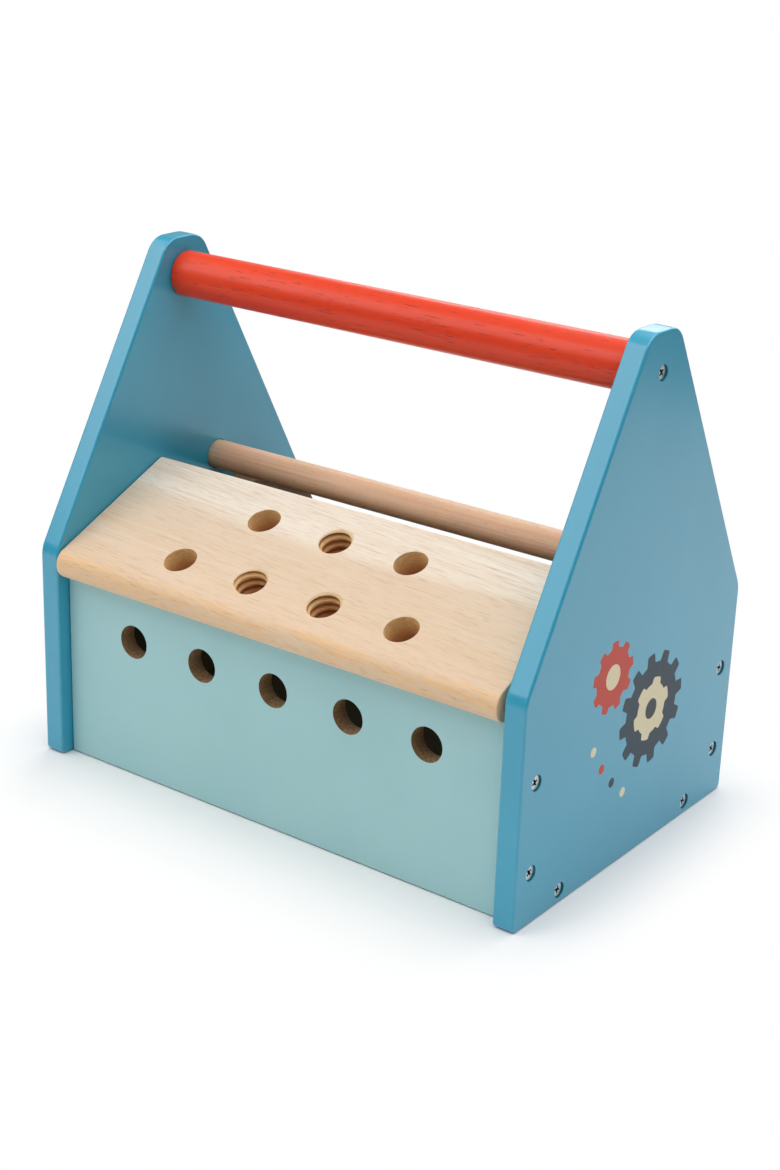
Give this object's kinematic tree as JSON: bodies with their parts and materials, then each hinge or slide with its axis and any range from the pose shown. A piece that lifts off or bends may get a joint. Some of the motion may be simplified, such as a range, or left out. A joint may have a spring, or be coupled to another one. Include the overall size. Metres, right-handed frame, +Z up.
{
  "type": "toy tool box",
  "caption": "Child's carry-along wooden tool box: gable end panels, round handle, peg holes in the front wall and a sloping peg bench that lifts as a lid.",
  "frame": {"origin": "on the ground under the middle of the box", "axes": "+X along the box to the end panel on the right, -Y towards the front wall that the bench slopes down to, +Z up"},
  "size_m": [0.274, 0.1812, 0.242],
  "materials": {
    "blue_paint": "satin slate-blue paint on solid wood, edges eased",
    "teal_paint": "matt pale teal paint on board",
    "brown_board": "bare fibreboard",
    "red_paint": "satin orange-red paint on a turned bar",
    "warm_wood": "sanded natural beech with brown flecks",
    "pale_wood": "sanded pale rubberwood with peach streaks",
    "bright_steel": "zinc-plated steel"
  },
  "bodies": {
    "box": {"end_panel_left": "blue_paint", "end_panel_right": "blue_paint", "front_wall": "teal_paint", "rear_wall": "teal_paint", "floor_board": "brown_board", "handle_bar": "red_paint", "rear_dowel": "warm_wood", "cleat_left": "warm_wood", "cleat_right": "warm_wood", "screw_handle_left": "bright_steel", "screw_handle_right": "bright_steel", "screw_front_wall_upper_left": "bright_steel", "screw_front_wall_upper_right": "bright_steel", "screw_front_wall_lower_left": "bright_steel", "screw_front_wall_lower_right": "bright_steel", "screw_rear_wall_upper_left": "bright_steel", "screw_rear_wall_upper_right": "bright_steel", "screw_rear_wall_lower_left": "bright_steel", "screw_rear_wall_lower_right": "bright_steel", "screw_floor_front_left": "bright_steel", "screw_floor_front_right": "bright_steel", "screw_floor_rear_left": "bright_steel", "screw_floor_rear_right": "bright_steel", "cleat_screw_front_left": "bright_steel", "cleat_screw_front_right": "bright_steel", "cleat_screw_rear_left": "bright_steel", "cleat_screw_rear_right": "bright_steel"},
    "lid": {"bench_lid": "pale_wood", "lid_pin_left": "bright_steel", "lid_pin_right": "bright_steel"}
  },
  "joints": [
    {"name": "bench_lift", "type": "hinge", "parent": "box", "child": "lid", "pos_m": [0, -0.02152, 0.12656], "axis": [-1, 0, 0], "range_deg": [0, 182.5]}
  ]
}
